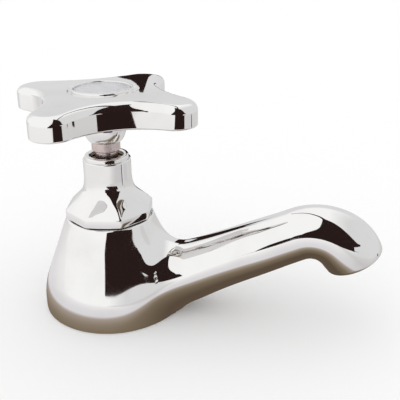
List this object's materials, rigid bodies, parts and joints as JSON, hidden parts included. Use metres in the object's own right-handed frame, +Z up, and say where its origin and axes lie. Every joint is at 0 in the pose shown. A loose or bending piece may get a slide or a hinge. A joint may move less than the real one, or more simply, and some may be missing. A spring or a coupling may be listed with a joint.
{
  "type": "pillar tap",
  "caption": "Deck-mounted pillar tap with a cross handle on a rising spindle, an octagonal bonnet, a conical base, an arched spout and a threaded tail.",
  "frame": {"origin": "centre of the flat underside of the foot, on the axis of tail and spindle, at the top of the deck", "axes": "+Z up along the spindle, +X along the spout towards the outlet, +Y to the left seen from behind the spout"},
  "size_m": [0.1326, 0.0692, 0.1325],
  "materials": {
    "body_chrome": "bright plated brass, slightly soft with wear",
    "handle_chrome": "bright plated metal",
    "trim_chrome": "bright plated thin trim",
    "satin_nickel": "turned, satin nickel plated",
    "turned_brass": "turned and milled, bare",
    "steel_screw": "zinc plated steel",
    "index_satin": "fine satin disc",
    "black_rubber": "smooth matt",
    "foam_rubber": "closed-cell foam, matt",
    "white_nylon": "moulded, matt",
    "red_fibre": "pressed fibre, matt",
    "graphite_packing": "graphited yarn, matt"
  },
  "bodies": {
    "body": {"tap_body": "body_chrome", "base_gasket": "foam_rubber", "under_washer": "black_rubber", "slip_washer": "white_nylon", "back_nut": "turned_brass", "valve_seat": "turned_brass", "headgear_washer": "red_fibre", "headgear_body": "turned_brass", "gland_washer": "turned_brass", "gland_packing": "graphite_packing", "gland_nut": "turned_brass", "bonnet_seal": "black_rubber", "bonnet_cover": "trim_chrome"},
    "jumper": {"jumper_valve": "turned_brass", "jumper_washer": "black_rubber", "jumper_nut": "turned_brass"},
    "handle": {"spindle": "satin_nickel", "spline_bush": "white_nylon", "cross_handle": "handle_chrome", "handle_screw": "steel_screw", "lock_washer": "steel_screw", "index_ring": "trim_chrome", "index_disc": "index_satin"}
  },
  "joints": [
    {"name": "valve_rise", "type": "slide", "parent": "body", "child": "jumper", "axis": [0, 0, 1], "range_m": [0, 0.006]},
    {"name": "handle_turn", "type": "hinge", "parent": "jumper", "child": "handle", "pos_m": [0, 0, 0.07], "axis": [0, 0, 1], "range_deg": [0, 540]}
  ],
  "couplings": [
    {"joint": "valve_rise", "follows": "handle_turn", "m_per_rad": 0.0006366}
  ]
}
